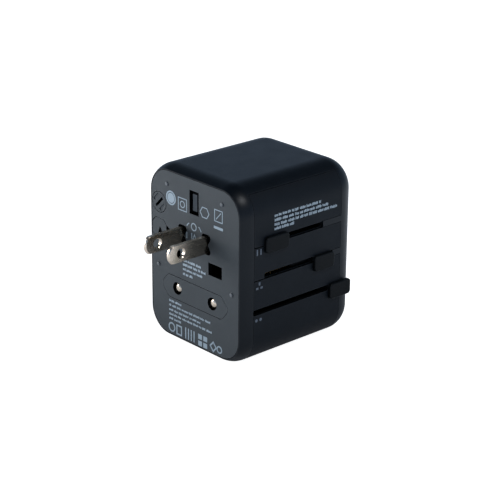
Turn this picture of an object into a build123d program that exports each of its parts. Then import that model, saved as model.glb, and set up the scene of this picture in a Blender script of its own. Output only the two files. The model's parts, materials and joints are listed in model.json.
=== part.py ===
from build123d import *
from math import cos, radians, sin, sqrt
import os

os.makedirs("parts", exist_ok=True)

# A universal travel adapter that stands upright. The plug side faces -Y, the universal
# socket and the charging ports face +Y, the three sliders are on the +X side, +Z is up.
# The origin is at the centre of the flat underside. A "depth" is counted from the front
# face towards the rear, and a "height" from the underside.

# ---- driving dimensions, mm ----
body_width = 51.0
body_depth = 54.2
body_height = 66.6
corner_radius = 10.9         # the four edges that run front to rear
front_round = 9.2            # radius of the rim around the front face, cut short by the face
front_round_depth = 5.3
rear_round = 8.4             # the same around the rear face
rear_round_depth = 6.6
wall = 2.2
plate_thickness = 1.8
plate_gap = 0.1              # round the front plate and the rear cover
plate_bevel = 0.15           # on the front plate's rim
cover_gap = 0.26             # round the covers that move in the front plate
bump_diameter = 1.6          # four low domes on the front plate
bump_out = 0.5
running_gap = 0.3            # between a moving piece and what it passes
bearing_gap = 0.05           # radial, for what turns or slides in a hole

row_height = 33.9            # the live and neutral pins of the three-pin plug
uk_pin_x = 11.11
uk_earth_rise = 22.23
uk_pin_size = (6.35, 3.97)
uk_earth_size = (3.97, 7.92)
uk_slot_size = (7.2, 4.7)
uk_earth_slot_size = (5.0, 8.8)
uk_travel = 23.5
uk_pin_out = 17.7            # how far the pins stand out once extended
uk_earth_out = 23.0
uk_pin_bevel = 0.9
uk_earth_bevel = 0.85

us_height = 42.56
us_blade_x = 6.35
us_blade_size = (1.5, 6.35)
us_blade_out = 17.5
us_tip_radius = 4.1          # the blade's end is an arc seen from the side
us_tip_bevel = 0.45
us_blade_hole = 3.5
us_hole_bevel = 0.2
us_blade_hole_out = 12.0
us_twist_slot = (1.0, 2.4, 2.4, 3.8)     # waist, half width, shoulder height, half height
us_twist_round = 1.35

eu_height = 21.0
eu_pin_x = 9.5
eu_pin_diameter = 4.0
eu_block_half = 18.3         # to the points of the block's six-sided outline
eu_block_flat_half = 14.4
eu_block_tall = 8.6
eu_block_length = 27.3
eu_block_wall = 1.4
eu_corner_radius = 2.2
eu_pin_travel = 19.9
eu_pin_recess = 0.35
eu_pin_hole = 4.8

slot_tall = 2.2
slot_end_radius = 0.8
us_slot = (46.2, 10.1, 38.5)     # height, front end, rear end
uk_slot = (33.9, 10.1, 43.6)
eu_slot = (20.95, 5.0, 51.3)
stem_length = 9.4
knob_lengths = (10.9, 9.8, 10.5)         # the two-blade, the three-pin and the two-pin slider
knob_tall = 5.9
knob_drops = (0.95, 1.65, 1.5)           # how far each knob's middle is below its slot
knob_shifts = (0.1, -0.2, 0.5)           # and how far behind the middle of its stem
knob_corner = 1.3
knob_edge = 0.45
knob_out = 1.5
knob_gap = 0.15
arm_thick = 2.6
arm_tall = 3.2

panel_front = 5.2
panel_rear = 47.6
panel_thick = 1.1
panel_seam = 0.2             # each panel stops this far short of its edge
panel_bed = 0.03             # under each panel
panel_angle = 48.0           # where the panels end on the rounded corners

fuse_x = -19.2
fuse_height = 51.6
fuse_cap_diameter = 7.5
fuse_coin_slot = (5.2, 1.1)
fuse_flat = (3.6, 1.2)       # the two shallow flats beside the coin slot
fuse_flat_shift = 2.3
fuse_flat_deep = 0.3
fuse_diameter = 5.0
fuse_length = 20.0
spare_height = 41.5
spare_size = 7.6
spare_cut = 1.8              # cut off each corner of the drawer's face
spare_gap = 0.2              # round the drawer's face

rail_height = 27.8           # underside of the lower conductor rails
rail_thick = 0.6
rail_x = (8.0, 13.0)
upper_rail_height = 49.2
web_depth = 30.2

board_height = 5.6
board_thick = 1.6
port_height = 10.05
screw_x = 17.9
screw_height = 9.0

# ---- derived dimensions ----
mid_height = body_height / 2
half_width = body_width / 2
front_y = -body_depth / 2
inner_x = half_width - wall
cavity_rear = 52.0
rear_inset = rear_round - sqrt(rear_round**2 - rear_round_depth**2)
panel_top = body_height - corner_radius + corner_radius * sin(radians(panel_angle))
panel_bottom = body_height - panel_top
arm_outer = inner_x - running_gap
arm_inner = arm_outer - arm_thick


def layer(depth):
    """A plane across the body, facing forward, at a depth behind the front face."""
    return Plane.XZ.offset(-(front_y + depth))


def side(x):
    """A plane along the body's side, facing +X; its first coordinate is Y."""
    return Plane.YZ.offset(x)


def slab(x0, x1, z0, z1, depth0, depth1, mode=Mode.ADD):
    """A box given by its faces, with the two Y faces given as depths."""
    with BuildSketch(layer(depth0)) as profile:
        with Locations(((x0 + x1) / 2, (z0 + z1) / 2)):
            Rectangle(x1 - x0, z1 - z0)
    extrude(profile.sketch, amount=-(depth1 - depth0), mode=mode)


def rod(x, z, diameter, depth0, depth1, mode=Mode.ADD):
    """A round bar along Y."""
    with BuildSketch(layer(depth0)) as profile:
        with Locations((x, z)):
            Circle(diameter / 2)
    extrude(profile.sketch, amount=-(depth1 - depth0), mode=mode)


def rounded(inset, depth0, depth1, mode=Mode.ADD):
    """A prism with the body's own outline, made smaller by an inset all round."""
    with BuildSketch(layer(depth0)) as profile:
        with Locations((0, mid_height)):
            RectangleRounded(
                body_width - 2 * inset, body_height - 2 * inset, corner_radius - inset
            )
    extrude(profile.sketch, amount=-(depth1 - depth0), mode=mode)


def slider_slot(slot, extra=0.0, mode=Mode.SUBTRACT):
    """The long opening that a slider's stem runs in, through the +X wall."""
    height, start, end = slot
    with BuildSketch(side(arm_inner)) as profile:
        with Locations((front_y + (start + end) / 2, height)):
            RectangleRounded(end - start + 2 * extra, slot_tall + 2 * extra, slot_end_radius)
    extrude(profile.sketch, amount=2 * wall + arm_thick, mode=mode)


def eu_outline(grow):
    """The six-sided outline of the two-pin block, with softened corners."""
    half = eu_block_half + grow
    flat = eu_block_flat_half
    tall = eu_block_tall / 2 + grow
    with BuildSketch(mode=Mode.PRIVATE) as outline:
        with Locations((0, eu_height)):
            Polygon((-half, 0), (-flat, tall), (flat, tall), (half, 0), (flat, -tall), (-flat, -tall))
        fillet(outline.vertices(), eu_corner_radius + grow)
    add(outline.sketch)


def bow_tie(x):
    """A twist slot: wide at both ends for a blade turned either way, narrow at the middle."""
    waist, end, shoulder, tall = us_twist_slot
    with BuildSketch(mode=Mode.PRIVATE) as outline:
        with Locations((x, us_height)):
            Polygon(
                (-end, tall), (-end, shoulder), (-waist, 0), (-end, -shoulder), (-end, -tall),
                (end, -tall), (end, -shoulder), (waist, 0), (end, shoulder), (end, tall),
            )
        lobe_corners = outline.vertices().group_by(Axis.Y)[0] + outline.vertices().group_by(Axis.Y)[-1]
        fillet(lobe_corners, us_twist_round)
    add(outline.sketch)


def spare_outline(grow):
    """The eight-sided outline of the spare fuse drawer's face."""
    half = spare_size / 2 + grow
    short = half - spare_cut
    with Locations((fuse_x, spare_height)):
        Polygon(
            (-half, -short), (-half, short), (-short, half), (short, half),
            (half, short), (half, -short), (short, -half), (-short, -half),
        )


def keep(part, label):
    """Names a finished piece and writes it out."""
    part.label = label
    export_step(part, f"parts/{label}.step")


# ---- housing: one sleeve with rounded rims, open at the front and at the rear ----
outer_front = front_round_depth - front_round
outer_rear = body_depth - rear_round_depth + rear_round
screw_places = [
    (sx * screw_x, z) for sx in (-1, 1) for z in (screw_height, body_height - screw_height)
]
board_posts = [(sx * 12.0, depth) for sx in (-1, 1) for depth in (14.0, 33.0)]

with BuildPart() as housing:
    rounded(0, outer_front, outer_rear)
    front_edges = housing.faces().sort_by(Axis.Y)[0].edges()
    rear_edges = housing.faces().sort_by(Axis.Y)[-1].edges()
    fillet(front_edges, front_round)
    fillet(rear_edges, rear_round)
    split(bisect_by=layer(0), keep=Keep.BOTTOM)
    split(bisect_by=layer(body_depth), keep=Keep.TOP)
    rounded(wall, -1, cavity_rear, mode=Mode.SUBTRACT)
    rounded(wall - 0.25, -1, plate_thickness, mode=Mode.SUBTRACT)
    rounded(rear_inset + 0.8, cavity_rear - 1, body_depth + 1, mode=Mode.SUBTRACT)
    # corner blocks that the rear cover's screws bite into
    for x, z in screw_places:
        out_x = 24.2 if x > 0 else -24.2
        out_z = 1.4 if z < mid_height else body_height - 1.4
        in_x = x - 2.4 if x > 0 else x + 2.4
        in_z = z + 2.4 if z < mid_height else z - 2.4
        with BuildSketch(layer(44.0)) as block:
            with Locations(((out_x + in_x) / 2, (out_z + in_z) / 2)):
                Rectangle(abs(out_x - in_x), abs(out_z - in_z))
            with Locations((0, mid_height)):
                RectangleRounded(
                    body_width - wall, body_height - wall, corner_radius - wall / 2,
                    mode=Mode.INTERSECT,
                )
        extrude(amount=-6.0)
        rod(x, z, 2.25, 42.0, cavity_rear, mode=Mode.SUBTRACT)
    # two ribs and four posts that carry the charger board
    for sx in (-1, 1):
        slab(sx * 13.6 - 0.7, sx * 13.6 + 0.7, wall - 0.3, board_height, 9.5, 49.0)
    for x, depth in board_posts:
        with BuildSketch(Plane.XY.offset(wall - 0.3)):
            with Locations((x, front_y + depth)):
                Circle(2.2)
                Circle(0.85, mode=Mode.SUBTRACT)
        extrude(amount=board_height - wall + 0.3)
    # the recess for the side panels, with two tongues left standing behind the short slots
    with BuildSketch(layer(panel_front)):
        with Locations((0, mid_height)):
            RectangleRounded(body_width + 2, body_height + 2, corner_radius + 1)
            RectangleRounded(
                body_width - 2 * panel_thick, body_height - 2 * panel_thick,
                corner_radius - panel_thick, mode=Mode.SUBTRACT,
            )
        with Locations((half_width, mid_height)):
            Rectangle(body_width, panel_top - panel_bottom, mode=Mode.INTERSECT)
    extrude(amount=-(panel_rear - panel_front), mode=Mode.SUBTRACT)
    for height, start, end in (us_slot, uk_slot):
        tongue = slot_tall / 2
        slab(
            half_width - wall, half_width, height - tongue, height + tongue,
            end, panel_rear,
        )
    for slot in (us_slot, uk_slot, eu_slot):
        slider_slot(slot)
keep(housing.part, "housing_sleeve")

# ---- four side panels let into the sleeve, split along the sliders' slots ----
def side_panel(label, z0, z1, cut_slots):
    """One panel between two heights, notched for the slots and tongues beside it."""
    inner = panel_thick - panel_bed
    with BuildPart() as panel:
        with BuildSketch(layer(panel_front + panel_seam)):
            with Locations((0, mid_height)):
                RectangleRounded(body_width, body_height, corner_radius)
                RectangleRounded(
                    body_width - 2 * inner, body_height - 2 * inner,
                    corner_radius - inner, mode=Mode.SUBTRACT,
                )
            with Locations((half_width, (z0 + z1) / 2)):
                Rectangle(body_width, z1 - z0 - 2 * panel_seam, mode=Mode.INTERSECT)
        extrude(amount=-(panel_rear - panel_front - 2 * panel_seam))
        for slot in cut_slots:
            slider_slot(slot)
            if slot != eu_slot:
                reach = slot_tall / 2 + panel_seam
                slab(
                    20, 30, slot[0] - reach, slot[0] + reach,
                    slot[2] - 1.0, panel_rear + 1, mode=Mode.SUBTRACT,
                )
    keep(panel.part, label)


us_line = us_slot[0] - slot_tall / 2
uk_line = uk_slot[0] - slot_tall / 2
side_panel("side_panel_top", us_line, panel_top, [us_slot])
side_panel("side_panel_upper", uk_line, us_line, [us_slot, uk_slot])
side_panel("side_panel_lower", eu_slot[0] + slot_tall / 2 - panel_seam, uk_line, [uk_slot, eu_slot])
side_panel("side_panel_bottom", panel_bottom, eu_slot[0] - slot_tall / 2 + panel_seam, [eu_slot])

# ---- front plate: all the plug openings ----
bump_places = [(sx * 14.7, row_height + 25.7) for sx in (-1, 1)]
bump_places += [(sx * 19.8, row_height - 6.2) for sx in (-1, 1)]
collar_depth = 5.0

with BuildPart() as front_plate:
    rounded(wall - 0.25 + plate_gap, 0, plate_thickness)
    chamfer(front_plate.faces().sort_by(Axis.Y)[0].edges(), plate_bevel)
    with BuildSketch(layer(plate_thickness)):
        eu_outline(cover_gap + 1.2)
    extrude(amount=-(collar_depth - plate_thickness))
    with BuildSketch(layer(-1)):
        with Locations((-uk_pin_x, row_height), (uk_pin_x, row_height)):
            Rectangle(*uk_slot_size)
        with Locations((0, row_height + uk_earth_rise)):
            Rectangle(*uk_earth_slot_size)
        for sx in (-1, 1):
            bow_tie(sx * us_blade_x)
        eu_outline(cover_gap)
        with Locations((fuse_x, fuse_height)):
            Circle(fuse_cap_diameter / 2 + cover_gap)
        spare_outline(spare_gap)
    extrude(amount=-(collar_depth + 2), mode=Mode.SUBTRACT)
    # a fingernail notch beside the spare fuse drawer
    with BuildSketch(layer(-1)):
        with Locations((fuse_x + spare_size / 2 + 0.9, spare_height + 1.2)):
            Polygon((-1.2, 1.2), (1.2, 0.1), (1.0, -0.5), (-1.2, -1.0))
    extrude(amount=-2.0, mode=Mode.SUBTRACT)
    for x, z in bump_places:
        rod(x, z, bump_diameter, -bump_out, 0.2)
    bump_rims = front_plate.faces().sort_by(Axis.Y)[0:4].edges()
    fillet(bump_rims, bump_out - 0.05)
keep(front_plate.part, "front_plate")

# ---- sliders: a knob outside, a stem through the slot ----
def knob(label, slot, stem_start, order):
    """A plain finger knob with rounded corners, on its flat stem."""
    middle = front_y + stem_start + stem_length / 2 + knob_shifts[order]
    height = slot[0]
    knob_base = half_width + knob_gap
    with BuildPart() as piece:
        with BuildSketch(side(knob_base)):
            with Locations((middle, height - knob_drops[order])):
                RectangleRounded(knob_lengths[order], knob_tall, knob_corner)
        extrude(amount=knob_out - knob_gap)
        outer_rim = piece.faces().sort_by(Axis.X)[-1].edges()
        fillet(outer_rim, knob_edge)
        with BuildSketch(side(arm_outer - 1.2)):
            with Locations((front_y + stem_start + stem_length / 2, height)):
                Rectangle(stem_length, slot_tall - 0.4)
        extrude(amount=knob_base - arm_outer + 1.2)
    keep(piece.part, label)


us_stem = us_slot[1] + 0.3
uk_stem = uk_slot[2] - 0.3 - stem_length
eu_stem = eu_slot[2] - 0.3 - stem_length
knob("us_slider_knob", us_slot, us_stem, 0)
knob("uk_slider_knob", uk_slot, uk_stem, 1)
knob("eu_slider_knob", eu_slot, eu_stem, 2)


def wall_arm(slot, depth0, stem_start):
    """The bar inside the +X wall that carries a slider's stem, with the stem's pocket."""
    height = slot[0]
    slab(
        arm_inner, arm_outer, height - arm_tall / 2, height + arm_tall / 2,
        depth0, stem_start + stem_length,
    )
    reach = (slot_tall - 0.4) / 2
    slab(
        arm_outer - 1.2, arm_outer + 1, height - reach, height + reach,
        stem_start, stem_start + stem_length, mode=Mode.SUBTRACT,
    )


# ---- two-blade plug: a carriage with two turning rotors ----
us_front = 2.2
us_thick = 4.8
flange_depth = 1.2
rotor_diameter = 8.0
flange_diameter = 9.4

with BuildPart() as us_carriage:
    slab(-11.6, 11.6, us_height - 5.25, us_height + 5.25, us_front, us_front + us_thick)
    us_arm_low = us_slot[0] - arm_tall / 2
    slab(11.0, arm_outer, us_arm_low, us_height + 5.25, us_front, us_front + us_thick)
    wall_arm(us_slot, us_front, us_stem)
    for sx in (-1, 1):
        x = sx * us_blade_x
        rod(
            x, us_height, flange_diameter + 2 * bearing_gap,
            us_front, us_front + flange_depth + bearing_gap, mode=Mode.SUBTRACT,
        )
        rod(
            x, us_height, rotor_diameter + 2 * bearing_gap,
            us_front, us_front + us_thick, mode=Mode.SUBTRACT,
        )
keep(us_carriage.part, "us_carriage")

us_tail = us_front + us_thick + 0.6
for name, sx in (("left", -1), ("right", 1)):
    x = sx * us_blade_x
    with BuildPart() as rotor:
        rod(x, us_height, flange_diameter, us_front, us_front + flange_depth)
        rod(x, us_height, rotor_diameter, us_front, us_front + us_thick)
        slab(
            x - us_blade_size[0] / 2, x + us_blade_size[0] / 2,
            us_height - us_blade_size[1] / 2, us_height + us_blade_size[1] / 2,
            us_front - 1, us_front + us_thick + 1, mode=Mode.SUBTRACT,
        )
    keep(rotor.part, f"us_rotor_{name}")

    with BuildPart() as blade:
        with BuildSketch(side(x - us_blade_size[0] / 2)):
            with Locations((front_y + (us_tail - us_blade_out) / 2, us_height)):
                Rectangle(us_tail + us_blade_out, us_blade_size[1])
            # the rounded end: what is outside an arc about a point on the blade's axis goes
            with BuildSketch(mode=Mode.PRIVATE) as nose:
                with Locations((front_y - us_blade_out, us_height)):
                    Rectangle(us_tip_radius, us_blade_size[1] + 1)
                with Locations((front_y - us_blade_out + us_tip_radius, us_height)):
                    Circle(us_tip_radius, mode=Mode.SUBTRACT)
            add(nose.sketch, mode=Mode.SUBTRACT)
            with Locations((front_y - us_blade_hole_out, us_height)):
                Circle(us_blade_hole / 2, mode=Mode.SUBTRACT)
        extrude(amount=us_blade_size[0])
        tip_arcs = blade.faces().sort_by(Axis.Y)[0].edges().filter_by(GeomType.CIRCLE)
        chamfer(tip_arcs, us_tip_bevel)
        rims = blade.edges().filter_by(GeomType.CIRCLE)
        hole_rims = rims.filter_by(lambda rim: abs(rim.radius - us_blade_hole / 2) < 0.01)
        chamfer(hole_rims, us_hole_bevel)
    keep(blade.part, f"us_blade_{name}")

# spring fingers behind the blades, rubbing on the upper rails
with BuildPart() as us_wipers:
    for sx in (-1, 1):
        x = sx * us_blade_x
        slab(x - 0.85, x + 0.85, 40.5, upper_rail_height - 0.15, us_tail + 0.15, us_tail + 0.55)
        slab(x - 0.85, x + 0.85, 46.4, 47.6, us_front + us_thick, us_tail + 0.15)
keep(us_wipers.part, "us_wipers")

# ---- three-pin plug: a C-shaped carriage that passes round the two-blade one ----
uk_front = 2.2 + uk_travel
uk_thick = 3.0
uk_rear = uk_front + uk_thick
earth_height = row_height + uk_earth_rise

with BuildPart() as uk_carriage:
    slab(-14.8, 15.3, 31.3, 36.5, uk_front, uk_rear)
    slab(-14.8, -12.3, 31.3, 60.7, uk_front, uk_rear)
    slab(-14.8, 3.6, 51.6, 60.7, uk_front, uk_rear)
    slab(15.0, arm_outer, 32.3, 35.5, uk_front, uk_rear)
    wall_arm(uk_slot, uk_front, uk_stem)
    with BuildSketch(layer(uk_front - 1)):
        with Locations((-uk_pin_x, row_height), (uk_pin_x, row_height)):
            Rectangle(*uk_pin_size)
        with Locations((0, earth_height)):
            Rectangle(*uk_earth_size)
    extrude(amount=-(uk_thick + 2), mode=Mode.SUBTRACT)
keep(uk_carriage.part, "uk_carriage")


def flat_pin(label, x, z, size, tip_depth, tail_depth, bevel):
    """A flat pin along Y with a bevelled tip."""
    with BuildPart() as pin:
        slab(
            x - size[0] / 2, x + size[0] / 2, z - size[1] / 2, z + size[1] / 2,
            tip_depth, tail_depth,
        )
        chamfer(pin.faces().sort_by(Axis.Y)[0].edges(), bevel)
        fillet(pin.edges().filter_by(Axis.Y), 0.3)
    keep(pin.part, label)


uk_tail = uk_rear + 0.9
uk_tip = uk_travel - uk_pin_out
uk_earth_tip = uk_travel - uk_earth_out
flat_pin("uk_line_pin", uk_pin_x, row_height, uk_pin_size, uk_tip, uk_tail, uk_pin_bevel)
flat_pin("uk_neutral_pin", -uk_pin_x, row_height, uk_pin_size, uk_tip, uk_tail, uk_pin_bevel)
flat_pin("uk_earth_pin", 0, earth_height, uk_earth_size, uk_earth_tip, uk_rear, uk_earth_bevel)

with BuildPart() as uk_wipers:
    for sx in (-1, 1):
        x = sx * uk_pin_x
        slab(
            x - 1.5, x + 1.5, rail_height + rail_thick + 0.1, row_height - uk_pin_size[1] / 2,
            uk_rear, uk_rear + 0.4,
        )
keep(uk_wipers.part, "uk_wipers")

# ---- two-pin plug: a hollow block that slides out, and pins that slide out of the block ----
carrier_front = eu_block_length - 5.0
carrier_half_tall = eu_block_tall / 2 - eu_block_wall - running_gap
arm_link = (11.5, 14.5)

with BuildPart() as eu_block:
    with BuildSketch(layer(0)):
        eu_outline(0)
    extrude(amount=-eu_block_length)
    with BuildSketch(layer(2.2)):
        eu_outline(-eu_block_wall)
    extrude(amount=-eu_block_length, mode=Mode.SUBTRACT)
    for sx in (-1, 1):
        rod(sx * eu_pin_x, eu_height, eu_pin_hole, -1, 3, mode=Mode.SUBTRACT)
    slab(
        13.0, 20.0, eu_slot[0] - arm_tall / 2 - running_gap, eu_slot[0] + arm_tall / 2 + running_gap,
        eu_stem - eu_pin_travel - running_gap, eu_block_length + 1, mode=Mode.SUBTRACT,
    )
keep(eu_block.part, "eu_block")

with BuildPart() as eu_carrier:
    slab(
        -13.0, arm_link[1], eu_height - carrier_half_tall, eu_height + carrier_half_tall,
        carrier_front, eu_block_length,
    )
    eu_arm_low = eu_slot[0] - arm_tall / 2
    slab(*arm_link, eu_arm_low, eu_arm_low + arm_tall, carrier_front, eu_stem + stem_length)
    slab(arm_link[0], arm_outer, eu_arm_low, eu_arm_low + arm_tall, eu_stem, eu_stem + stem_length)
    wall_arm(eu_slot, eu_stem, eu_stem)
    for sx in (-1, 1):
        rod(sx * eu_pin_x, eu_height, 3.2, carrier_front - 1, eu_block_length + 1, mode=Mode.SUBTRACT)
keep(eu_carrier.part, "eu_pin_carrier")

sleeve_front = 10.0
with BuildPart() as eu_pins:
    for sx in (-1, 1):
        rod(sx * eu_pin_x, eu_height, eu_pin_diameter, eu_pin_recess, sleeve_front)
        rod(sx * eu_pin_x, eu_height, 3.2, sleeve_front, eu_block_length)
    fillet(eu_pins.faces().group_by(Axis.Y)[0].edges(), 1.5)
keep(eu_pins.part, "eu_pins")

with BuildPart() as eu_sleeves:
    for sx in (-1, 1):
        rod(sx * eu_pin_x, eu_height, 3.9, sleeve_front, carrier_front)
        rod(sx * eu_pin_x, eu_height, 3.2, sleeve_front, carrier_front, mode=Mode.SUBTRACT)
keep(eu_sleeves.part, "eu_pin_sleeves")

riser_depth = 47.7
with BuildPart() as eu_wipers:
    for sx in (-1, 1):
        x = sx * eu_pin_x
        slab(x - 1, x + 1, eu_height - 0.3, eu_height + 0.3, eu_block_length, riser_depth + 0.4)
        slab(x - 1, x + 1, eu_height, rail_height - 0.1, riser_depth, riser_depth + 0.4)
keep(eu_wipers.part, "eu_wipers")

# ---- conductors: one folded strip for each pole, from the rails to the rear socket ----
contact_web = 34.0
for name, sx in (("line", 1), ("neutral", -1)):
    def strip(x0, x1, z0, z1, depth0, depth1):
        low, high = sorted((sx * x0, sx * x1))
        slab(low, high, z0, z1, depth0, depth1)

    with BuildPart() as bus:
        strip(*rail_x, rail_height, rail_height + rail_thick, 4.0, 49.0)
        strip(5.4, 10.0, upper_rail_height, upper_rail_height + rail_thick, 4.0, web_depth + rail_thick)
        strip(8.0, 10.0, rail_height, upper_rail_height + rail_thick, web_depth, web_depth + rail_thick)
        strip(5.4, 9.0, rail_height, 30.0, web_depth, web_depth + rail_thick)
        strip(5.4, 6.8, board_height + board_thick, 30.0, web_depth, web_depth + rail_thick)
        strip(8.4, 10.0, 33.2, 34.6, web_depth, contact_web)
    keep(bus.part, f"{name}_bus")

    with BuildPart() as contact:
        strip(4.95, 14.9, 31.25, 38.0, contact_web, contact_web + 0.6)
        strip(7.7, 14.9, 36.1, 36.6, contact_web, 49.8)
        strip(7.7, 14.9, 31.2, 31.7, contact_web, 49.8)
        strip(4.95, 5.35, 31.25, 38.0, contact_web, 49.8)
    keep(contact.part, f"{name}_socket_contact")

# ---- rear socket: the carrier holds the contacts, its rear face has the openings ----
socket_face_size = (32.0, 38.0)
socket_face_height = 42.4
socket_face_radius = 10.0
socket_face_rear = 53.0
socket_face_front = 50.5
carrier_start = 31.5
socket_slot = (2.0, 7.4)

with BuildPart() as socket_carrier:
    with BuildSketch(layer(socket_face_front)):
        with Locations((0, socket_face_height)):
            RectangleRounded(*socket_face_size, socket_face_radius)
    extrude(amount=-(socket_face_rear - socket_face_front))
    slab(-16.0, 16.0, 29.2, 50.0, carrier_start, socket_face_front)
    slab(-6.0, 6.0, 49.0, 61.2, carrier_start, socket_face_front)
    # pockets for the two contacts, open towards the front
    for sx in (-1, 1):
        low, high = sorted((sx * 4.8, sx * 15.05))
        slab(low, high, 30.9, 38.6, carrier_start - 1, socket_face_front, mode=Mode.SUBTRACT)
    slab(
        -uk_earth_slot_size[0] / 2, uk_earth_slot_size[0] / 2,
        earth_height - 4.5, earth_height + 4.5, 33.5, socket_face_rear + 1, mode=Mode.SUBTRACT,
    )
    # each pole's opening takes a flat pin, a round pin, an upright and a slanted blade
    with BuildSketch(layer(socket_face_front - 0.5)):
        for sx in (-1, 1):
            with Locations((sx * uk_pin_x, row_height)):
                Rectangle(*uk_slot_size)
            with Locations((sx * eu_pin_x, row_height)):
                Circle(2.6)
            with Locations((sx * us_blade_x, row_height + 0.6)):
                Rectangle(*socket_slot)
            with Locations(Location((sx * 7.9, row_height + 1.0), sx * 30)):
                Rectangle(*socket_slot)
    extrude(amount=-(socket_face_rear - socket_face_front + 1.5), mode=Mode.SUBTRACT)
keep(socket_carrier.part, "socket_carrier")

# ---- rear cover, with the ports' openings and the screws' seats ----
cover_front = 51.8
port_a_x = -7.6
port_c_x = 8.2
lamp_x = 1.3
port_a_size = (13.2, 5.7)
port_c_size = (9.0, 3.2)

with BuildPart() as rear_cover:
    rounded(rear_inset + 0.8 + plate_gap, cover_front, body_depth)
    # lips that bear on the inside of the sleeve's rear rim
    slab(-12.0, 12.0, body_height - 5.0, body_height - 2.6, cavity_rear - 1.8, cavity_rear)
    slab(-12.0, 12.0, 2.6, 5.0, cavity_rear - 1.8, cavity_rear)
    with BuildSketch(layer(45.0)):
        with Locations((0, socket_face_height)):
            RectangleRounded(
                socket_face_size[0] + 0.2, socket_face_size[1] + 0.2, socket_face_radius + 0.1
            )
        with Locations((port_a_x, port_height)):
            RectangleRounded(port_a_size[0] + 0.3, port_a_size[1] + 0.3, 0.6)
        with Locations((port_c_x, port_height)):
            RectangleRounded(port_c_size[0] + 0.3, port_c_size[1] + 0.3, 1.7)
        with Locations((lamp_x, port_height)):
            Circle(1.12)
    extrude(amount=-10, mode=Mode.SUBTRACT)
    for x, z in screw_places:
        rod(x, z, 2.5, cover_front - 1, body_depth + 1, mode=Mode.SUBTRACT)
        rod(x, z, 4.2, body_depth - 1.3, body_depth + 1, mode=Mode.SUBTRACT)
keep(rear_cover.part, "rear_cover")

with BuildPart() as cover_screws:
    for x, z in screw_places:
        rod(x, z, 2.2, 44.6, body_depth - 1.0)
        rod(x, z, 4.0, body_depth - 1.3, body_depth - 0.2)
        with BuildSketch(layer(body_depth - 0.9)):
            with Locations((x, z)):
                Rectangle(2.4, 0.5)
                Rectangle(0.5, 2.4)
        extrude(amount=-1, mode=Mode.SUBTRACT)
keep(cover_screws.part, "cover_screws")

# ---- fuse, its holder and its coin-slotted cap ----
with BuildPart() as fuse_holder:
    rod(fuse_x, fuse_height, 8.0, plate_thickness, 26.0)
    rod(fuse_x, fuse_height, 6.4, plate_thickness - 1, 25.0, mode=Mode.SUBTRACT)
    rod(fuse_x, fuse_height, fuse_cap_diameter - 0.4, plate_thickness - 1, 3.0, mode=Mode.SUBTRACT)
keep(fuse_holder.part, "fuse_holder")

with BuildPart() as fuse_cap:
    rod(fuse_x, fuse_height, fuse_cap_diameter, 0, plate_thickness - 0.05)
    rod(fuse_x, fuse_height, fuse_cap_diameter - 0.6, plate_thickness - 0.05, 2.8)
    with BuildSketch(layer(-1)):
        with Locations(Location((fuse_x, fuse_height), 45)):
            Rectangle(*fuse_coin_slot)
    extrude(amount=-2.2, mode=Mode.SUBTRACT)
    # shallow finger flats on both sides of the coin slot
    with BuildSketch(layer(-1)):
        with Locations(Location((fuse_x, fuse_height), 45)):
            with Locations((0, fuse_flat_shift), (0, -fuse_flat_shift)):
                Rectangle(*fuse_flat)
    extrude(amount=-(1 + fuse_flat_deep), mode=Mode.SUBTRACT)
keep(fuse_cap.part, "fuse_cap")


def cartridge(label_body, label_caps, x, z, depth0):
    """A cartridge fuse: a ceramic tube with a metal cap pressed on each end."""
    with BuildPart() as tube:
        rod(x, z, fuse_diameter - 0.6, depth0 + 0.4, depth0 + fuse_length - 0.4)
    keep(tube.part, label_body)
    with BuildPart() as caps:
        for start, inside in ((depth0, 0.4), (depth0 + fuse_length - 5.0, 0.0)):
            rod(x, z, fuse_diameter, start, start + 5.0)
            rod(x, z, fuse_diameter - 0.6, start + inside, start + inside + 4.6, mode=Mode.SUBTRACT)
    keep(caps.part, label_caps)


cartridge("fuse_tube", "fuse_end_caps", fuse_x, fuse_height, 3.6)

with BuildPart() as fuse_contacts:
    rod(fuse_x, fuse_height, 6.3, 3.4, 7.0)
    rod(fuse_x, fuse_height, 5.1, 3.4, 7.0, mode=Mode.SUBTRACT)
    rod(fuse_x, fuse_height, 6.3, 21.0, 24.4)
    rod(fuse_x, fuse_height, 5.1, 20.5, 23.7, mode=Mode.SUBTRACT)
keep(fuse_contacts.part, "fuse_contacts")

# ---- spare fuse in a small drawer ----
with BuildPart() as spare_guide:
    slab(
        fuse_x - 3.85, fuse_x + 3.85, spare_height - 3.85, spare_height + 3.85,
        plate_thickness, 26.5,
    )
    slab(
        fuse_x - 3.2, fuse_x + 3.2, spare_height - 3.2, spare_height + 3.2,
        plate_thickness - 1, 25.5, mode=Mode.SUBTRACT,
    )
keep(spare_guide.part, "spare_fuse_guide")

with BuildPart() as spare_drawer:
    with BuildSketch(layer(0)):
        spare_outline(0)
    extrude(amount=-(plate_thickness - 0.1))
    slab(
        fuse_x - 2.9, fuse_x + 2.9, spare_height - 2.9, spare_height + 0.6,
        plate_thickness - 0.1, 24.8,
    )
    rod(fuse_x, spare_height, fuse_diameter + 0.1, 2.7, 23.0, mode=Mode.SUBTRACT)
    slab(
        fuse_x - fuse_diameter / 2, fuse_x + fuse_diameter / 2, spare_height, spare_height + 3,
        2.7, 23.0, mode=Mode.SUBTRACT,
    )
    # a raised pull at the middle of the drawer's face
    with BuildSketch(layer(0)):
        with Locations((fuse_x + 0.6, spare_height - 0.6)):
            Polygon((-1.4, -1.2), (1.6, -1.2), (-0.4, 1.6))
    extrude(amount=-0.5, mode=Mode.SUBTRACT)
keep(spare_drawer.part, "spare_fuse_drawer")
cartridge("spare_fuse_tube", "spare_fuse_end_caps", fuse_x, spare_height, 2.85)

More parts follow.
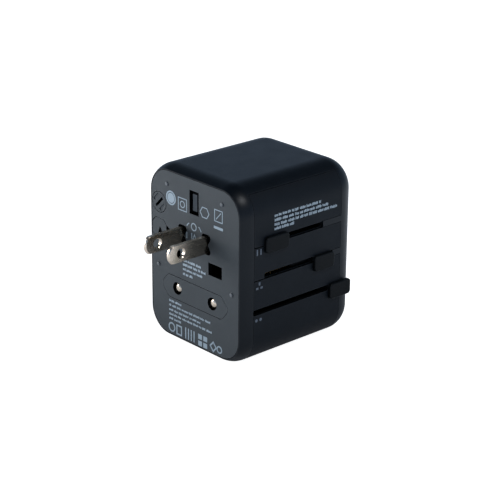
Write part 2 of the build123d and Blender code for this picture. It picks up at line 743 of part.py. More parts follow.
# ---- charger board and what stands on it ----
board_top = board_height + board_thick
with BuildPart() as board:
    slab(-14.5, 14.5, board_height, board_top, 9.0, 51.0)
    with BuildSketch(Plane.XY.offset(board_height - 1)):
        with Locations(*[(x, front_y + depth) for x, depth in board_posts]):
            Circle(1.1)
    extrude(amount=board_thick + 2, mode=Mode.SUBTRACT)
keep(board.part, "usb_board")

with BuildPart() as board_screws:
    with BuildSketch(Plane.XY.offset(wall + 0.2)):
        with Locations(*[(x, front_y + depth) for x, depth in board_posts]):
            Circle(0.83)
    extrude(amount=board_top - wall - 0.2)
    with BuildSketch(Plane.XY.offset(board_top)):
        with Locations(*[(x, front_y + depth) for x, depth in board_posts]):
            Circle(1.7)
    extrude(amount=1.1)
keep(board_screws.part, "board_screws")

port_rear = body_depth - 0.3
with BuildPart() as port_a:
    half_a = (port_a_size[0] / 2, port_a_size[1] / 2)
    slab(
        port_a_x - half_a[0], port_a_x + half_a[0], port_height - half_a[1],
        port_height + half_a[1], port_rear - 14.0, port_rear,
    )
    fillet(port_a.edges().filter_by(Axis.Y), 0.6)
    slab(
        port_a_x - half_a[0] + 0.3, port_a_x + half_a[0] - 0.3, port_height - half_a[1] + 0.3,
        port_height + half_a[1] - 0.3, port_rear - 13.0, port_rear + 1, mode=Mode.SUBTRACT,
    )
keep(port_a.part, "usb_a_shell")

with BuildPart() as tongue_a:
    slab(
        port_a_x - 5.6, port_a_x + 5.6, port_height + 0.4, port_height + 2.3,
        port_rear - 13.0, port_rear - 0.6,
    )
keep(tongue_a.part, "usb_a_tongue")

with BuildPart() as port_c:
    with BuildSketch(layer(port_rear - 7.5)):
        with Locations((port_c_x, port_height)):
            RectangleRounded(*port_c_size, 1.5)
    extrude(amount=-7.5)
    with BuildSketch(layer(port_rear - 6.9)):
        with Locations((port_c_x, port_height)):
            RectangleRounded(port_c_size[0] - 0.5, port_c_size[1] - 0.5, 1.25)
    extrude(amount=-8, mode=Mode.SUBTRACT)
    for sx in (-1, 1):
        slab(
            port_c_x + sx * 3.2 - 0.5, port_c_x + sx * 3.2 + 0.5, board_top,
            port_height - port_c_size[1] / 2, port_rear - 6.5, port_rear - 3.5,
        )
keep(port_c.part, "usb_c_shell")

with BuildPart() as tongue_c:
    slab(
        port_c_x - 3.3, port_c_x + 3.3, port_height - 0.35, port_height + 0.35,
        port_rear - 6.9, port_rear - 0.8,
    )
keep(tongue_c.part, "usb_c_tongue")

with BuildPart() as lamp:
    rod(lamp_x, port_height, 2.1, 45.5, body_depth)
    slab(lamp_x - 1.0, lamp_x + 1.0, board_top + 0.8, port_height + 0.9, 44.2, 46.2)
keep(lamp.part, "light_pipe")

with BuildPart() as core:
    slab(-12.5, 1.5, board_top, 17.6, 16.5, 21.5)
    slab(-12.5, -10.0, board_top, 17.6, 21.5, 29.0)
    slab(-1.0, 1.5, board_top, 17.6, 21.5, 29.0)
    slab(-12.5, 1.5, board_top, 17.6, 29.0, 29.8)
    slab(-12.5, 1.5, 15.6, 30.0, 10.0, 45.0, mode=Mode.SUBTRACT)
keep(core.part, "transformer_core")

with BuildPart() as coil:
    slab(-9.7, -1.3, board_top, 14.6, 21.8, 28.7)
    fillet(coil.edges().filter_by(Axis.Z), 1.5)
keep(coil.part, "transformer_winding")

capacitor_places = [(6.6, 13.2), (6.6, 20.4), (-7.0, 12.6)]
with BuildPart() as capacitors:
    with BuildSketch(Plane.XY.offset(board_top)):
        with Locations(*[(x, front_y + depth) for x, depth in capacitor_places]):
            Circle(2.6)
    extrude(amount=8.2)
    fillet(capacitors.faces().group_by(Axis.Z)[-1].edges(), 0.5)
keep(capacitors.part, "capacitors")

chip_places = [(-0.8, 12.5), (9.5, 38.0), (-6.0, 35.0), (2.2, 36.0)]
with BuildPart() as chips:
    with BuildSketch(Plane.XY.offset(board_top)):
        with Locations(*[(x, front_y + depth) for x, depth in chip_places]):
            Rectangle(5.0, 4.0)
    extrude(amount=1.5)
    with BuildSketch(Plane.XY.offset(board_top)):
        with Locations((lamp_x, front_y + 45.2)):
            Rectangle(1.6, 0.8)
    extrude(amount=0.8)
keep(chips.part, "board_chips")
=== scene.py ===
import bpy, bmesh, json, math, random
from mathutils import Matrix, Vector


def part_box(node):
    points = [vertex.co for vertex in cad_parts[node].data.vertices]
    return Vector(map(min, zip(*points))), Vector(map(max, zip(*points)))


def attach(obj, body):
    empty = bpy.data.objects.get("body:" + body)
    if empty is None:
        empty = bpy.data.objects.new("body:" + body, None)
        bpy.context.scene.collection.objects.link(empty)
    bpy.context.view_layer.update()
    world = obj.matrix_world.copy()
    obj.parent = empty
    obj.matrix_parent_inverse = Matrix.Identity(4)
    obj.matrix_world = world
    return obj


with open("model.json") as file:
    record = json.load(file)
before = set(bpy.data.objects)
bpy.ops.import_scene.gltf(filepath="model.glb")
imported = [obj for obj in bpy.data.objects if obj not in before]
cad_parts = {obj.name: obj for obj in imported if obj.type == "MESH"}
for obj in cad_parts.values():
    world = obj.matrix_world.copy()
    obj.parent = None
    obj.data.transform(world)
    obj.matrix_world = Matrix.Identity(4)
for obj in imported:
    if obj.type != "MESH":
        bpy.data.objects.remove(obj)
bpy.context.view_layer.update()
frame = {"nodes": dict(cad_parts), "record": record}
mm = 0.001
print("frame loaded:", len(frame["nodes"]), "nodes")

# places read off the CAD model, in metres
shellLow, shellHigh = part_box("housing_sleeve")
ukPinLow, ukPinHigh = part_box("uk_line_pin")
plateFace = shellLow.y                                   # the flat face of the front plate
sideFace = shellHigh.x                                   # the flat of the side panels
rowHeight = (ukPinLow.z + ukPinHigh.z) / 2               # where the flat pins are


def newMaterial(name):
    mat = bpy.data.materials.new(name)
    mat.use_nodes = True
    nodes = mat.node_tree.nodes
    return mat, nodes, mat.node_tree.links, nodes["Principled BSDF"]


def addNode(nodes, kind, **values):
    node = nodes.new(kind)
    for key, value in values.items():
        if key in node.inputs:
            node.inputs[key].default_value = value
        else:
            setattr(node, key, value)
    return node


def ramp(nodes, low, high, lowColor, highColor):
    node = nodes.new("ShaderNodeValToRGB")
    node.color_ramp.elements[0].position = low
    node.color_ramp.elements[0].color = (*lowColor, 1)
    node.color_ramp.elements[1].position = high
    node.color_ramp.elements[1].color = (*highColor, 1)
    return node


def grey(value):
    return (value, value, value)


# drives a roughness socket between two levels
def swayedRoughness(nodes, links, source, low, high, look, shader):
    gloss = ramp(nodes, low, high, grey(look["rough"] - look["sway"]), grey(look["rough"] + look["sway"]))
    links.new(source, gloss.inputs["Fac"])
    links.new(gloss.outputs["Color"], shader.inputs["Roughness"])


# lays one colour over a surface where a mask is up
def overlay(nodes, links, mask, surface, color):
    mix = addNode(nodes, "ShaderNodeMix", data_type="RGBA")
    mix.inputs["B"].default_value = (*color, 1)
    links.new(mask, mix.inputs["Factor"])
    links.new(surface, mix.inputs["A"])
    return mix.outputs["Result"]


# a value that goes from 0 to 1 between two places along one axis
def fadeBetween(nodes, links, source, start, end):
    fade = addNode(nodes, "ShaderNodeMapRange")
    fade.inputs["From Min"].default_value = start
    fade.inputs["From Max"].default_value = end
    links.new(source, fade.inputs["Value"])
    return fade


plasticIor = 1.49
grainHeight = 0.06 * mm
drawnHeight = 0.04 * mm

# painted shade: the near-black colour and low sheen laid in openings, slots and recesses
bareAndShadeLook = {"color": (0.0015, 0.002, 0.0025), "sheen": 0.03, "level": 0.85, "skin": 0.04 * mm}


# painted shade: where a plastic is painted near black with little sheen, in its openings, in the long slots,
# or on all but its front end, for the shade in these recesses; on the grey face plastic this is also its bare
# plastic under a thin grey skin
def bareAndShadeMask(look, nodes, links, where, geometry):
    facing = addNode(nodes, "ShaderNodeSeparateXYZ")
    links.new(geometry.outputs["Normal"], facing.inputs["Vector"])
    if "below" in look:
        deep = fadeBetween(nodes, links, where.outputs["Y"], look["below"], look["below"] + bareAndShadeLook["skin"])
        return deep.outputs["Result"]
    if "frontOnly" in look:
        away = addNode(nodes, "ShaderNodeMath", operation="GREATER_THAN")
        away.inputs[1].default_value = -look["frontOnly"]
        links.new(facing.outputs["Y"], away.inputs[0])
        return away.outputs["Value"]
    if "slotsFrom" in look:
        flat = addNode(nodes, "ShaderNodeMath", operation="ABSOLUTE")
        links.new(facing.outputs["Z"], flat.inputs[0])
        level = addNode(nodes, "ShaderNodeMath", operation="GREATER_THAN")
        level.inputs[1].default_value = bareAndShadeLook["level"]
        links.new(flat.outputs["Value"], level.inputs[0])
        outer = addNode(nodes, "ShaderNodeMath", operation="GREATER_THAN")
        outer.inputs[1].default_value = look["slotsFrom"]
        links.new(where.outputs["X"], outer.inputs[0])
        both = addNode(nodes, "ShaderNodeMath", operation="MULTIPLY")
        links.new(level.outputs["Value"], both.inputs[0])
        links.new(outer.outputs["Value"], both.inputs[1])
        return both.outputs["Value"]
    return None


# a moulded plastic: two colours that drift, a spark-eroded grain, rubbed spots and polished edges, painted
# shade in its recesses and a painted highlight on what stands proud of its face
def moulded(name, look):
    mat, nodes, links, shader = newMaterial(name)
    coords = addNode(nodes, "ShaderNodeTexCoord")
    drift = addNode(nodes, "ShaderNodeTexNoise", Scale=look["drift"], Detail=5.0, Roughness=0.6)
    grain = addNode(nodes, "ShaderNodeTexNoise", Scale=look["grain"], Detail=3.0, Roughness=0.55)
    smear = addNode(nodes, "ShaderNodeTexNoise", Scale=look["drift"] * 3.1, Detail=8.0, Roughness=0.7)
    for node in (drift, grain, smear):
        links.new(coords.outputs["Object"], node.inputs["Vector"])
    tone = ramp(nodes, 0.35, 0.7, look["dark"], look["light"])
    links.new(drift.outputs["Fac"], tone.inputs["Fac"])
    bevel = addNode(nodes, "ShaderNodeBevel", Radius=look["edge"])
    geometry = addNode(nodes, "ShaderNodeNewGeometry")
    turn = addNode(nodes, "ShaderNodeVectorMath", operation="DOT_PRODUCT")
    links.new(bevel.outputs["Normal"], turn.inputs[0])
    links.new(geometry.outputs["Normal"], turn.inputs[1])
    edge = ramp(nodes, 0.93, 0.995, grey(look["wear"]), grey(0.0))
    links.new(turn.outputs["Value"], edge.inputs["Fac"])
    surface = overlay(nodes, links, edge.outputs["Color"], tone.outputs["Color"], look["rubbedAndHighlight"])
    shader.inputs["Specular IOR Level"].default_value = look["specular"]
    where = addNode(nodes, "ShaderNodeSeparateXYZ")
    links.new(coords.outputs["Object"], where.inputs["Vector"])
    if "proud" in look:
        # what stands out of the face is painted pale: rubbed plastic, and a painted highlight on the small
        # bumps
        raised = fadeBetween(nodes, links, where.outputs["Y"], look["proud"], look["proud"] - 0.2 * mm)
        surface = overlay(nodes, links, raised.outputs["Result"], surface, look["rubbedAndHighlight"])
    # painted shade: openings and slot walls painted near black with little sheen
    mask = bareAndShadeMask(look, nodes, links, where, geometry)
    if mask:
        surface = overlay(nodes, links, mask, surface, bareAndShadeLook["color"])
        sheen = addNode(nodes, "ShaderNodeMapRange")
        sheen.inputs["To Min"].default_value = look["specular"]
        sheen.inputs["To Max"].default_value = bareAndShadeLook["sheen"]
        links.new(mask, sheen.inputs["Value"])
        links.new(sheen.outputs["Result"], shader.inputs["Specular IOR Level"])
    links.new(surface, shader.inputs["Base Color"])
    swayedRoughness(nodes, links, smear.outputs["Fac"], 0.3, 0.75, look, shader)
    bump = addNode(nodes, "ShaderNodeBump", Strength=look["bump"], Distance=grainHeight)
    links.new(grain.outputs["Fac"], bump.inputs["Height"])
    links.new(bump.outputs["Normal"], shader.inputs["Normal"])
    shader.inputs["IOR"].default_value = plasticIor
    return mat


# a plated or bare metal: fine drawn lines, small dull spots, and where asked a painted shade towards one end
def metal(name, look):
    mat, nodes, links, shader = newMaterial(name)
    coords = addNode(nodes, "ShaderNodeTexCoord")
    stretch = addNode(nodes, "ShaderNodeMapping", vector_type="POINT")
    stretch.inputs["Scale"].default_value = look["lines"]
    links.new(coords.outputs["Object"], stretch.inputs["Vector"])
    lines = addNode(nodes, "ShaderNodeTexNoise", Scale=1.0, Detail=6.0, Roughness=0.65)
    links.new(stretch.outputs["Vector"], lines.inputs["Vector"])
    cloud = addNode(nodes, "ShaderNodeTexNoise", Scale=look["cloud"], Detail=6.0, Roughness=0.6)
    links.new(coords.outputs["Object"], cloud.inputs["Vector"])
    tone = ramp(nodes, 0.3, 0.72, look["dark"], look["light"])
    links.new(cloud.outputs["Fac"], tone.inputs["Fac"])
    surface = tone.outputs["Color"]
    # painted shade: darker towards the plate end of the piece
    if "rootShade" in look:
        where = addNode(nodes, "ShaderNodeSeparateXYZ")
        links.new(coords.outputs["Object"], where.inputs["Vector"])
        fade = fadeBetween(nodes, links, where.outputs["Y"], look["rootShadeFrom"], look["rootShadeTo"])
        fade.inputs["To Max"].default_value = look["rootShade"]
        surface = overlay(nodes, links, fade.outputs["Result"], surface, look["rootShadeColor"])
    links.new(surface, shader.inputs["Base Color"])
    swayedRoughness(nodes, links, lines.outputs["Fac"], 0.25, 0.8, look, shader)
    bump = addNode(nodes, "ShaderNodeBump", Strength=look["bump"], Distance=drawnHeight)
    links.new(lines.outputs["Fac"], bump.inputs["Height"])
    links.new(bump.outputs["Normal"], shader.inputs["Normal"])
    shader.inputs["Metallic"].default_value = 1.0
    return mat


blackLook = {"dark": (0.0016, 0.0036, 0.0064), "light": (0.0026, 0.005, 0.0084),
             "rubbedAndHighlight": (0.05, 0.055, 0.062), "drift": 60.0, "grain": 5200.0, "edge": 0.4 * mm, "wear": 0.25,
             "rough": 0.4, "sway": 0.03, "bump": 0.35, "specular": 0.225}
# painted shade: slot walls near the side faces are painted near black
shellLook = dict(blackLook, slotsFrom=sideFace - 3 * mm)
panelLook = dict(shellLook, drift=75.0, rough=0.56, specular=0.185)
# painted shade just behind the face in the openings; painted highlight on what stands proud
plateLook = {"dark": (0.0255, 0.033, 0.0385), "light": (0.0315, 0.040, 0.0465), "rubbedAndHighlight": (0.13, 0.14, 0.15),
             "drift": 45.0, "grain": 4200.0, "edge": 0.2 * mm, "wear": 0.6, "rough": 0.62, "sway": 0.04,
             "bump": 0.5, "specular": 0.5, "below": plateFace + 0.04 * mm, "proud": plateFace - 0.2 * mm}
knobLook = dict(blackLook, dark=(0.0016, 0.0024, 0.0032), light=(0.0024, 0.0034, 0.0044), rough=0.42,
                specular=0.1)
innerLook = dict(knobLook, dark=(0.004, 0.0045, 0.005), light=(0.006, 0.0065, 0.007), rough=0.6,
                 specular=0.15)
# painted shade: the earth pin's front is a darker grey than the plate and its sides near black, for the shade
# in its recess
earthShadeLook = dict(knobLook, specular=0.2, dark=(0.022, 0.031, 0.039), light=(0.028, 0.038, 0.048), rough=0.5,
                 frontOnly=0.85)
nickelLook = {"dark": (0.52, 0.45, 0.35), "light": (0.93, 0.78, 0.65), "lines": (400.0, 60.0, 5200.0),
              "cloud": 190.0, "rough": 0.25, "sway": 0.05, "bump": 0.06}
# painted shade: the blades are painted darker and duller near the plate, for the plate's shade that falls on
# them and darkens what they reflect
bladeLook = dict(nickelLook, rootShadeFrom=plateFace - 11 * mm, rootShadeTo=plateFace - 2 * mm, rootShade=0.42,
                 rootShadeColor=(0.05, 0.055, 0.038))
brassLook = dict(nickelLook, dark=(0.22, 0.15, 0.06), light=(0.38, 0.27, 0.11), rough=0.4)
steelLook = dict(nickelLook, dark=(0.45, 0.45, 0.46), light=(0.62, 0.62, 0.63), rough=0.3)

lensLook = dict(innerLook, dark=(0.55, 0.58, 0.6), light=(0.65, 0.68, 0.7), rough=0.35)
boardLook = dict(innerLook, dark=(0.01, 0.1, 0.04), light=(0.015, 0.14, 0.06), rough=0.3)
tapeLook = dict(innerLook, dark=(0.6, 0.42, 0.05), light=(0.7, 0.5, 0.08), rough=0.35)
ceramicLook = dict(innerLook, dark=(0.72, 0.70, 0.65), light=(0.8, 0.78, 0.73))
ferriteLook = dict(innerLook, dark=(0.02, 0.02, 0.021), light=(0.035, 0.034, 0.034))
chipLook = dict(innerLook, dark=(0.012, 0.012, 0.013), light=(0.018, 0.018, 0.019))
canLook = dict(steelLook, dark=(0.02, 0.02, 0.05), light=(0.03, 0.03, 0.07))

finishes = {
    "shell_black": moulded("shellPlastic", shellLook),
    "panel_black": moulded("panelPlastic", panelLook),
    "knob_black": moulded("knobPlastic", knobLook),
    "face_grey": moulded("facePlastic", plateLook),
    "socket_black": moulded("socketPlastic", dict(knobLook, rough=0.5)),
    "inner_plastic": moulded("innerPlastic", innerLook),
    "earth_pin_plastic": moulded("earthPinShadedPlastic", earthShadeLook),
    "nickel": metal("nickelPlate", nickelLook),
    "brass": metal("springBrass", brassLook),
    "zinc": metal("zincPlate", steelLook),
    "port_steel": metal("portSteel", dict(steelLook, rough=0.22)),
    "capacitor_can": metal("canSleeve", canLook),
    "fuse_ceramic": moulded("fuseCeramic", ceramicLook),
    "board_green": moulded("boardLacquer", boardLook),
    "port_plastic": moulded("portPlastic", dict(innerLook, rough=0.45)),
    "clear_plastic": moulded("frostedLens", lensLook),
    "ferrite": moulded("ferriteCore", ferriteLook),
    "winding_tape": moulded("windingTape", tapeLook),
    "chip_black": moulded("chipResin", chipLook),
}
# pieces that keep their slot and have a finish of their own
ownFinish = {
    # painted shade: the fuse cap is painted near black deeper than 0.4 mm behind the face
    "fuse_cap": moulded("capPlastic", dict(plateLook, below=plateFace + 0.4 * mm)),
    "us_blade_left": metal("bladePlate", bladeLook),
}
ownFinish["us_blade_right"] = ownFinish["us_blade_left"]
for entry in frame["record"]["subparts"]:
    node = frame["nodes"][entry["node"]]
    node.data.materials.clear()
    node.data.materials.append(ownFinish.get(entry["node"], finishes[entry["material_slot"]]))
    for face in node.data.polygons:
        face.material_index = 0
print("materials made:", len(finishes))


inkLook = {"color": (0.34, 0.42, 0.48), "thick": 0.03 * mm, "rough": 0.55, "screen": 3800.0, "fade": 0.82}
smallInkLook = dict(inkLook, color=(0.5, 0.6, 0.68))
# painted light: the side print is a brighter copy of the front ink, making up for the side panel getting less
# light
sideBrightenedInkLook = dict(inkLook, color=(0.44, 0.53, 0.60))
dimInkLook = dict(inkLook, color=(0.085, 0.105, 0.135))


def inkMaterial(name, look):
    mat, nodes, links, shader = newMaterial(name)
    coords = addNode(nodes, "ShaderNodeTexCoord")
    screen = addNode(nodes, "ShaderNodeTexNoise", Scale=look["screen"], Detail=2.0)
    links.new(coords.outputs["Object"], screen.inputs["Vector"])
    low = tuple(c * look["fade"] for c in look["color"])
    tone = ramp(nodes, 0.3, 0.7, low, look["color"])
    links.new(screen.outputs["Fac"], tone.inputs["Fac"])
    links.new(tone.outputs["Color"], shader.inputs["Base Color"])
    shader.inputs["Roughness"].default_value = look["rough"]
    return mat


inkWhite = inkMaterial("printInk", inkLook)
inkSmall = inkMaterial("smallPrintInk", smallInkLook)
inkSideBrightened = inkMaterial("sideBrightenedInk", sideBrightenedInkLook)
inkDim = inkMaterial("labelInk", dimInkLook)


# small print: lengths of words and dashes, and where dashes start and stop in a row
dashLook = {"word": (1.0, 3.4), "space": (0.35, 0.6), "dash": (0.16, 0.34), "gap": (0.13, 0.21),
            "tops": (1.0, 0.78, 0.78, 1.0), "feet": (0.0, 0.0, 0.12), "lastWord": 0.3, "lastDash": 0.15}


# a print is a list of outlines and bands in millimetres, laid on one face of the adapter
class Print:
    def __init__(self, name, toWorld):
        self.name = name
        self.toWorld = toWorld
        self.mesh = bmesh.new()

    def prism(self, outline):
        low = [self.mesh.verts.new(self.toWorld(x, z, 0)) for x, z in outline]
        high = [self.mesh.verts.new(self.toWorld(x, z, inkLook["thick"])) for x, z in outline]
        count = len(outline)
        self.mesh.faces.new(high)
        self.mesh.faces.new(low[::-1])
        for i in range(count):
            j = (i + 1) % count
            self.mesh.faces.new((low[i], low[j], high[j], high[i]))

    def block(self, x, z, wide, tall):
        self.prism([(x, z), (x + wide, z), (x + wide, z + tall), (x, z + tall)])

    def disc(self, x, z, radius, count=40):
        turn = 2 * math.pi / count
        self.prism([(x + radius * math.cos(i * turn), z + radius * math.sin(i * turn)) for i in range(count)])

    # a closed or open band of one width that follows points
    def band(self, points, width, closed=True):
        count = len(points)
        inner, outer = [], []
        for i, point in enumerate(points):
            before = Vector(points[i - 1] if closed or i else point)
            after = Vector(points[(i + 1) % count] if closed or i < count - 1 else point)
            here = Vector(point)
            inDir = (here - before).normalized() if here != before else (after - here).normalized()
            outDir = (after - here).normalized() if after != here else inDir
            normal = Vector((-(inDir + outDir).y, (inDir + outDir).x)).normalized()
            reach = width / 2 / max(0.4, normal.dot(Vector((-inDir.y, inDir.x))))
            inner.append(tuple(here + normal * reach))
            outer.append(tuple(here - normal * reach))
        layers = []
        for lift in (0, inkLook["thick"]):
            layers.append(([self.mesh.verts.new(self.toWorld(*p, lift)) for p in inner],
                           [self.mesh.verts.new(self.toWorld(*p, lift)) for p in outer]))
        (lowIn, lowOut), (highIn, highOut) = layers
        last = count if closed else count - 1
        for i in range(last):
            j = (i + 1) % count
            self.mesh.faces.new((highIn[i], highOut[i], highOut[j], highIn[j]))
            self.mesh.faces.new((lowIn[j], lowOut[j], lowOut[i], lowIn[i]))
            self.mesh.faces.new((lowIn[i], highIn[i], highIn[j], lowIn[j]))
            self.mesh.faces.new((lowOut[j], highOut[j], highOut[i], lowOut[i]))
        if not closed:
            self.mesh.faces.new((lowIn[0], lowOut[0], highOut[0], highIn[0]))
            self.mesh.faces.new((highIn[-1], highOut[-1], lowOut[-1], lowIn[-1]))

    def arc(self, x, z, radius, start, end, width, count=20):
        closed = abs(end - start) >= 360
        steps = count if closed else count - 1
        angles = [math.radians(start + (end - start) * i / steps) for i in range(count)]
        self.band([(x + radius * math.cos(a), z + radius * math.sin(a)) for a in angles], width, closed)

    def ring(self, x, z, radius, width, count):
        self.arc(x, z, radius, 0, 360, width, count)

    # a four-sided frame about its middle
    def outlined(self, x, z, wide, tall, width):
        halfWide, halfTall = wide / 2, tall / 2
        self.band([(x - halfWide, z - halfTall), (x + halfWide, z - halfTall),
                   (x + halfWide, z + halfTall), (x - halfWide, z + halfTall)], width)

    # a row of short dashes that stands for a line of small print
    def dashes(self, x, z, length, tall, seed):
        draw = random.Random(seed)
        at = 0.0
        while at < length - dashLook["lastWord"]:
            end = at + min(draw.uniform(*dashLook["word"]), length - at)
            while at < end - dashLook["lastDash"]:
                cell = min(draw.uniform(*dashLook["dash"]), end - at)
                high = tall * draw.choice(dashLook["tops"])
                low = tall * draw.choice(dashLook["feet"])
                self.block(x + at, z + low, cell, high - low)
                at += cell + draw.uniform(*dashLook["gap"])
            at = end + draw.uniform(*dashLook["space"])

    def rows(self, look):
        for row, (z, length) in enumerate(look["rows"]):
            self.dashes(look["left"], z, length, look["tall"], look["seed"] + row)

    def done(self, material, body="housing"):
        bmesh.ops.recalc_face_normals(self.mesh, faces=self.mesh.faces)
        data = bpy.data.meshes.new(self.name)
        self.mesh.to_mesh(data)
        self.mesh.free()
        data.materials.append(material)
        piece = bpy.data.objects.new(self.name, data)
        bpy.context.scene.collection.objects.link(piece)
        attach(piece, body)


def onPlate(x, z, lift):
    return (x * mm, plateFace - lift, rowHeight + z * mm)


def onSide(depth, z, lift):
    return (sideFace + lift, plateFace + depth * mm, rowHeight + z * mm)


# symbols above the pins; a place is across the plate and above the row of flat pins
symbolsLook = {
    "line": 0.32,
    "emblem": {"at": (-12.6, 20.9), "ring": 2.4, "disc": 1.85, "line": 0.55},
    "ringInSquare": {"at": (-6.3, 20.1), "side": 4.5, "ring": 1.15, "line": 0.34},
    "hexagon": {"at": (5.6, 20.2), "wide": 2.3, "tall": 2.1, "line": 0.34},
    "slashedSquare": {"at": (12.9, 20.9), "size": (4.0, 4.2),
                      "slash": [(11.6, 19.5), (14.2, 22.3)], "slashLine": 0.3},
    "bar": (10.5, 16.0, 4.7, 0.95),
    "turn": {"at": (-0.2, 10.4), "radius": 4.5, "arcs": ((124, 148), (28, 54)), "line": 0.4},
    "turnRing": {"at": (-0.2, 13.3), "radius": 1.3},
    "strokes": ((-4.2, 8.1, 0.4, 2.3), (-1.5, 8.6, 0.4, 2.2)),
    "triangle": {"points": [(-0.6, 8.8), (1.0, 8.8), (0.2, 10.5)], "line": 0.3},
}
symbols = Print("front_symbols", onPlate)
look = symbolsLook["emblem"]
symbols.ring(*look["at"], look["ring"], look["line"], 44)
symbols.disc(*look["at"], look["disc"])
look = symbolsLook["ringInSquare"]
symbols.outlined(*look["at"], look["side"], look["side"], symbolsLook["line"])
symbols.ring(*look["at"], look["ring"], look["line"], 28)
look = symbolsLook["hexagon"]
corners = [math.radians(60 * i) for i in range(6)]
symbols.band([(look["at"][0] + look["wide"] * math.cos(a), look["at"][1] + look["tall"] * math.sin(a))
              for a in corners], look["line"])
look = symbolsLook["slashedSquare"]
symbols.outlined(*look["at"], *look["size"], symbolsLook["line"])
symbols.band(look["slash"], look["slashLine"], closed=False)
symbols.block(*symbolsLook["bar"])
# between the blades: a ring, two arcs that hint at the twist, and a few strokes
turn = symbolsLook["turn"]
symbols.ring(*symbolsLook["turnRing"]["at"], symbolsLook["turnRing"]["radius"], turn["line"], 28)
for start, end in turn["arcs"]:
    symbols.arc(*turn["at"], turn["radius"], start, end, turn["line"], 10)
for stroke in symbolsLook["strokes"]:
    symbols.block(*stroke)
symbols.band(symbolsLook["triangle"]["points"], symbolsLook["triangle"]["line"])
symbols.done(inkWhite)

# two blocks of small print on the plate; a row is its height and its length
smallPrintLook = (
    {"left": -6.2, "tall": 0.95, "seed": 11,
     "rows": ((-1.3, 10.2), (-2.95, 12.2), (-4.7, 11.1), (-6.5, 6.0))},
    {"left": -14.1, "tall": 0.85, "seed": 31,
     "rows": ((-19.2, 7.6), (-20.95, 23.2), (-22.75, 18.1), (-24.45, 23.8), (-26.15, 7.5))},
)
small = Print("front_small_print", onPlate)
for look in smallPrintLook:
    small.rows(look)
small.done(inkSmall)

# the row of larger marks at the foot of the plate
marksLook = {
    "line": 0.55,
    "ring": {"at": (-12.7, -29.1), "radius": 1.6},
    "upright": {"at": (-8.6, -29.1), "size": (2.6, 3.4)},
    "bars": {"from": (-5.2, -31.1), "count": 4, "pitch": 1.55, "tall": 4.4},
    "tiles": {"from": (2.0, -31.3), "pitch": (2.8, 2.6), "size": (2.1, 1.9)},
    "diamond": [(8.6, -29.2), (10.2, -31.0), (11.8, -29.2), (10.2, -27.4)],
    "lastRing": {"at": (13.5, -29.3), "radius": 1.2, "line": 0.5},
}
marks = Print("front_marks", onPlate)
line = marksLook["line"]
marks.ring(*marksLook["ring"]["at"], marksLook["ring"]["radius"], line, 36)
marks.outlined(*marksLook["upright"]["at"], *marksLook["upright"]["size"], line)
bars = marksLook["bars"]
for step in range(bars["count"]):
    marks.block(bars["from"][0] + step * bars["pitch"], bars["from"][1], line, bars["tall"])
tiles = marksLook["tiles"]
(tileX, tileZ), (stepX, stepZ) = tiles["from"], tiles["pitch"]
for column in range(2):
    for tier in range(2):
        marks.block(tileX + column * stepX, tileZ + tier * stepZ, *tiles["size"])
marks.band(marksLook["diamond"], line)
marks.ring(*marksLook["lastRing"]["at"], marksLook["lastRing"]["radius"], marksLook["lastRing"]["line"], 30)
marks.done(inkWhite)

# small print on the top side panel; a place on the side is behind the front face and above the flat pins
sidePrintLook = {"left": 14.7, "tall": 1.05, "seed": 51,
                 "rows": ((20.6, 22.4), (18.95, 26.4), (17.3, 31.0), (15.75, 9.8))}
sideText = Print("side_small_print", onSide)
sideText.rows(sidePrintLook)
sideText.done(inkSideBrightened)

# a small picture of the pins below each slot: two blades, three flat pins, two round pins
labelsLook = {
    "blocks": ((6.4, 8.3, 0.6, 2.2), (8.1, 8.3, 0.6, 2.2),
               (6.3, -4.4, 1.1, 0.8), (8.3, -4.4, 1.1, 0.8), (7.5, -3.0, 0.8, 1.2)),
    "dots": ((6.6, -16.0), (8.6, -16.0)),
    "dotRadius": 0.6,
}
pinLabels = Print("slider_labels", onSide)
for block in labelsLook["blocks"]:
    pinLabels.block(*block)
for dot in labelsLook["dots"]:
    pinLabels.disc(*dot, labelsLook["dotRadius"], 20)
pinLabels.done(inkDim)
print("printing laid on the plate and the side")


stageLook = {"size": 3.0, "drop": 0.05 * mm, "color": (0.8, 0.8, 0.8), "rough": 0.8, "glow": 0.97,
             "bounce": (0.72, 0.80, 0.90), "near": 0.06, "far": 0.78, "from": 30 * mm, "to": 150 * mm}
bpy.ops.mesh.primitive_plane_add(size=stageLook["size"], location=(0, 0, shellLow.z - stageLook["drop"]))
floor = bpy.context.object
floor.name = "floor"
floorMat, floorNodes, floorLinks, floorShader = newMaterial("paleFloor")
floorShader.inputs["Base Color"].default_value = (*stageLook["color"], 1)
floorShader.inputs["Roughness"].default_value = stageLook["rough"]
# seen directly it is white; what it throws back at the adapter fades close to the adapter, a painted shadow
# in the floor's light around it
floorPath = addNode(floorNodes, "ShaderNodeLightPath")
floorCoords = addNode(floorNodes, "ShaderNodeTexCoord")
reach = addNode(floorNodes, "ShaderNodeVectorMath", operation="LENGTH")
floorLinks.new(floorCoords.outputs["Object"], reach.inputs[0])
bounce = addNode(floorNodes, "ShaderNodeMapRange")
bounce.inputs["From Min"].default_value = stageLook["from"]
bounce.inputs["From Max"].default_value = stageLook["to"]
bounce.inputs["To Min"].default_value = stageLook["near"]
bounce.inputs["To Max"].default_value = stageLook["far"]
floorLinks.new(reach.outputs["Value"], bounce.inputs["Value"])
floorGlow = addNode(floorNodes, "ShaderNodeMapRange")
floorGlow.inputs["To Max"].default_value = stageLook["glow"]
floorLinks.new(floorPath.outputs["Is Camera Ray"], floorGlow.inputs["Value"])
floorLinks.new(bounce.outputs["Result"], floorGlow.inputs["To Min"])
floorLinks.new(floorGlow.outputs["Result"], floorShader.inputs["Emission Strength"])
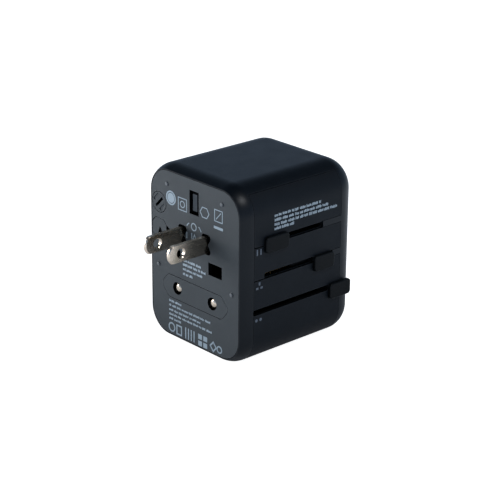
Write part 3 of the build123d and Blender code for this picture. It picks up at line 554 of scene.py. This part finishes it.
tint = addNode(floorNodes, "ShaderNodeMix", data_type="RGBA")
tint.inputs["A"].default_value = (*stageLook["bounce"], 1)
tint.inputs["B"].default_value = (1, 1, 1, 1)
floorLinks.new(floorPath.outputs["Is Camera Ray"], tint.inputs["Factor"])
floorLinks.new(tint.outputs["Result"], floorShader.inputs["Emission Color"])
floor.data.materials.append(floorMat)

# the room: pale walls low down, dark above, plain white behind
roomLook = {"walls": (0.325, 0.43, 0.58), "above": (0.02, 0.025, 0.03), "from": 0.38, "to": 0.6}
world = bpy.data.worlds.new("studio")
bpy.context.scene.world = world
world.use_nodes = True
worldNodes, worldLinks = world.node_tree.nodes, world.node_tree.links
backdrop = worldNodes["Background"]
backdrop.inputs["Color"].default_value = (1, 1, 1, 1)
backdrop.inputs["Strength"].default_value = 1.0
roomLight = addNode(worldNodes, "ShaderNodeBackground", Strength=1.0)
direction = addNode(worldNodes, "ShaderNodeTexCoord")
parts = addNode(worldNodes, "ShaderNodeSeparateXYZ")
shade = ramp(worldNodes, roomLook["from"], roomLook["to"], roomLook["walls"], roomLook["above"])
path = addNode(worldNodes, "ShaderNodeLightPath")
choose = addNode(worldNodes, "ShaderNodeMixShader")
worldLinks.new(direction.outputs["Generated"], parts.inputs["Vector"])
worldLinks.new(parts.outputs["Z"], shade.inputs["Fac"])
worldLinks.new(shade.outputs["Color"], roomLight.inputs["Color"])
worldLinks.new(path.outputs["Is Camera Ray"], choose.inputs["Fac"])
worldLinks.new(roomLight.outputs["Background"], choose.inputs[1])
worldLinks.new(backdrop.outputs["Background"], choose.inputs[2])
worldLinks.new(choose.outputs["Shader"], worldNodes["World Output"].inputs["Surface"])

middle = Vector((0, 0, rowHeight))


# a unit direction seen from the adapter: 0 degrees is straight ahead of the front plate, 90 is its right side
def towards(azimuth, elevation):
    a, e = math.radians(azimuth), math.radians(elevation)
    return Vector((math.sin(a) * math.cos(e), -math.cos(a) * math.cos(e), math.sin(e)))


def softbox(name, look):
    place = middle + look["distance"] * towards(look["azimuth"], look["elevation"])
    data = bpy.data.lights.new(name, "AREA")
    data.shape = "RECTANGLE"
    data.size, data.size_y = look["size"]
    data.energy = look["power"]
    data.color = look["color"]
    lamp = bpy.data.objects.new(name, data)
    bpy.context.scene.collection.objects.link(lamp)
    lamp.location = place
    lamp.rotation_euler = (middle - place).to_track_quat("-Z", "Y").to_euler()


lampLooks = {
    "keyLeft": {"azimuth": -52, "elevation": 10, "distance": 0.8, "size": (0.25, 0.35), "power": 3.6,
                "color": (1, 1, 1)},
    "rightTop": {"azimuth": 90, "elevation": 54, "distance": 0.8, "size": (0.12, 0.12), "power": 2.4,
                 "color": (0.95, 0.97, 1.0)},
}
for name, look in lampLooks.items():
    softbox(name, look)

cameraLook = {"azimuth": 47.43, "elevation": 21.21, "roll": 0.53, "distance": 0.586, "lens": 116.1,
              "aim": (1.24 * mm, -1.55 * mm, 32.5 * mm)}
back = towards(cameraLook["azimuth"], cameraLook["elevation"])
azimuth, roll = math.radians(cameraLook["azimuth"]), math.radians(cameraLook["roll"])
right = Vector((math.cos(azimuth), math.sin(azimuth), 0))
up = back.cross(right)
across = math.cos(roll) * right + math.sin(roll) * up
upright = math.cos(roll) * up - math.sin(roll) * right
turned = Matrix((across, upright, back)).transposed().to_4x4()
place = Vector(cameraLook["aim"]) + back * cameraLook["distance"]
cameraData = bpy.data.cameras.new("camera")
cameraData.lens = cameraLook["lens"]
cameraData.clip_start = 0.01
camera = bpy.data.objects.new("camera", cameraData)
bpy.context.scene.collection.objects.link(camera)
camera.matrix_world = Matrix.Translation(place) @ turned
bpy.context.scene.camera = camera
bpy.context.scene.view_settings.view_transform = "Standard"
print("stage, lights and camera set")
